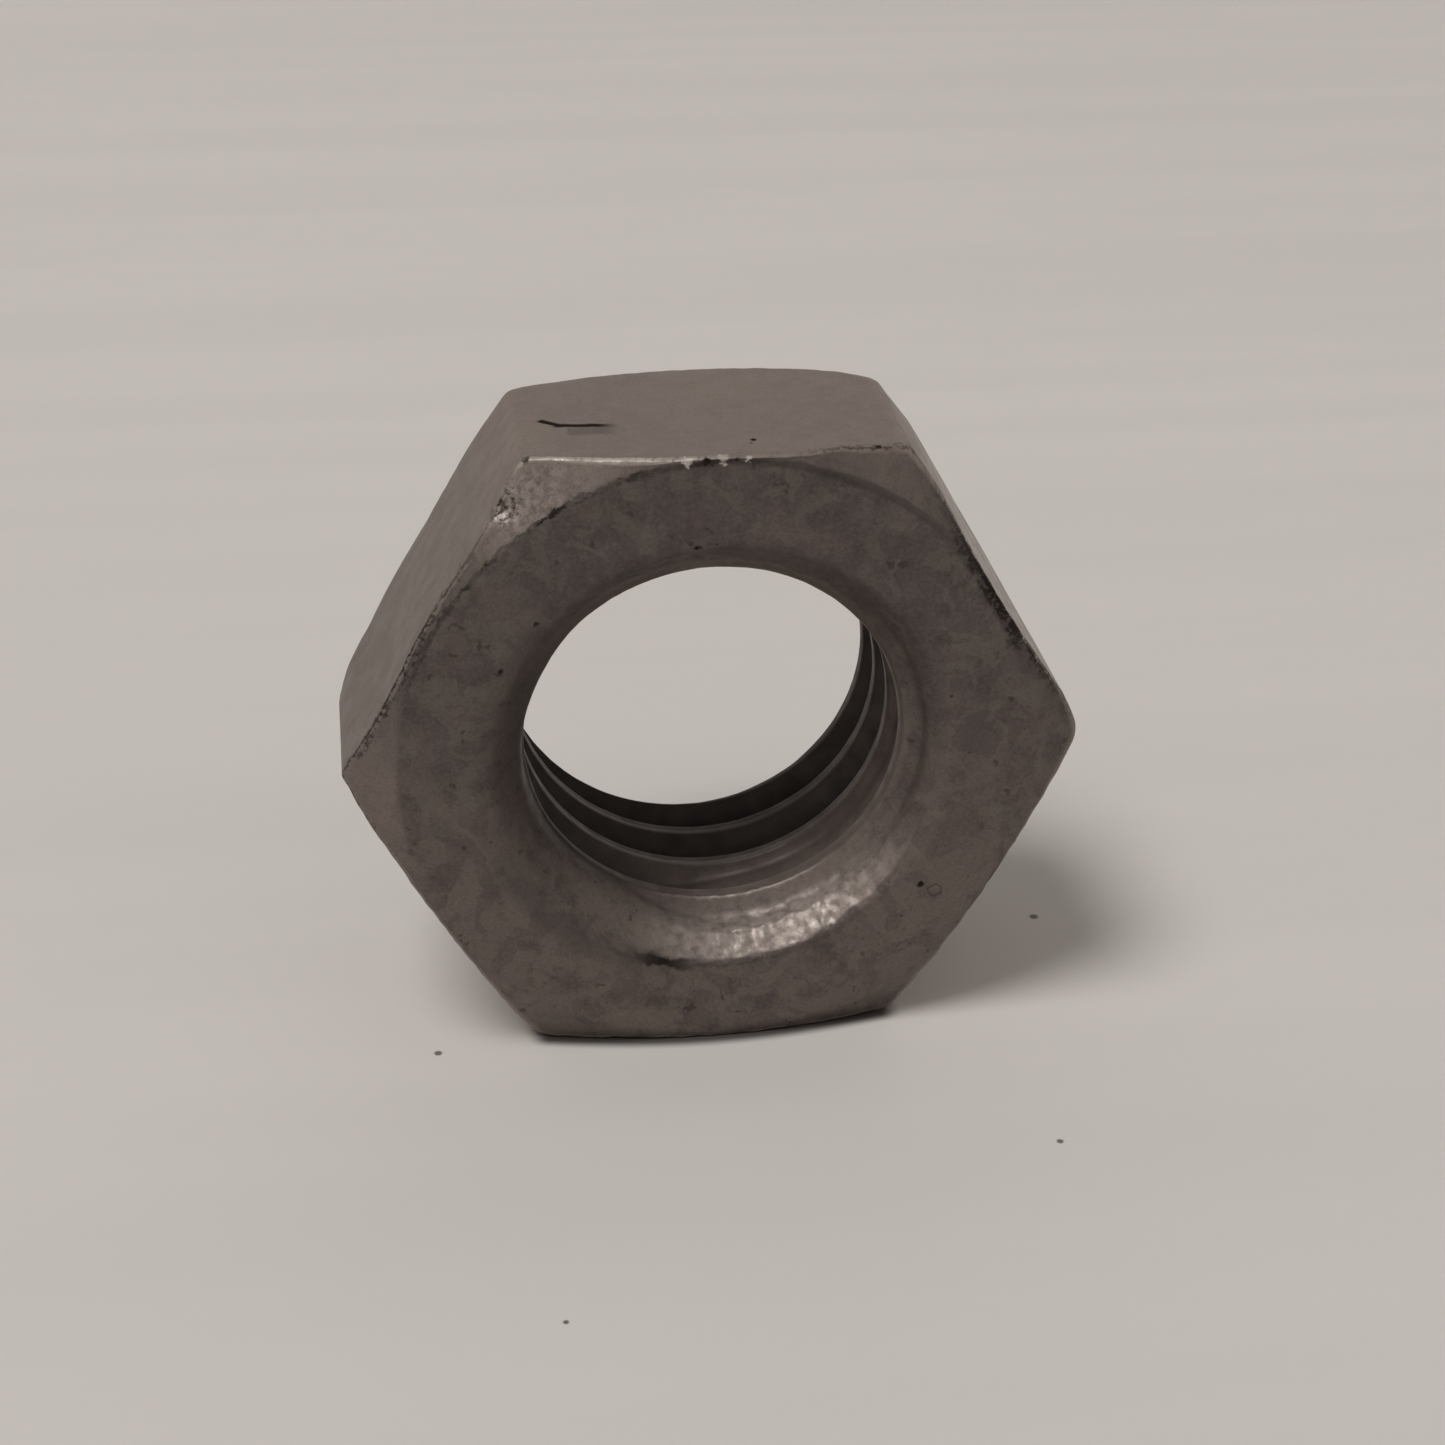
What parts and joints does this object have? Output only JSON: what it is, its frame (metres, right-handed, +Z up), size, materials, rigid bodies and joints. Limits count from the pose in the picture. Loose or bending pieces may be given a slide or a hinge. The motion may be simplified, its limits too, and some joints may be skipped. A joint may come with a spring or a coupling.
{
  "type": "hex jam nut",
  "caption": "Hex jam nut, hot-dip galvanised steel, with a right-hand internal thread, chamfered corners and a countersunk bore; clamps or locks a bolted joint.",
  "frame": {"origin": "on the thread axis, halfway between the two bearing faces", "axes": "+Y along the thread axis from the wide-countersink face to the back face, +Z up through a wrench flat, +X through a corner; the nut stands on its lowest flat"},
  "size_m": [0.0218, 0.0082, 0.019],
  "materials": {
    "galvanised_zinc": "dull, mottled hot-dip zinc over carbon steel; the tapped thread is bare, darker steel"
  },
  "bodies": {
    "root": {"hex_nut": "galvanised_zinc"}
  },
  "joints": []
}
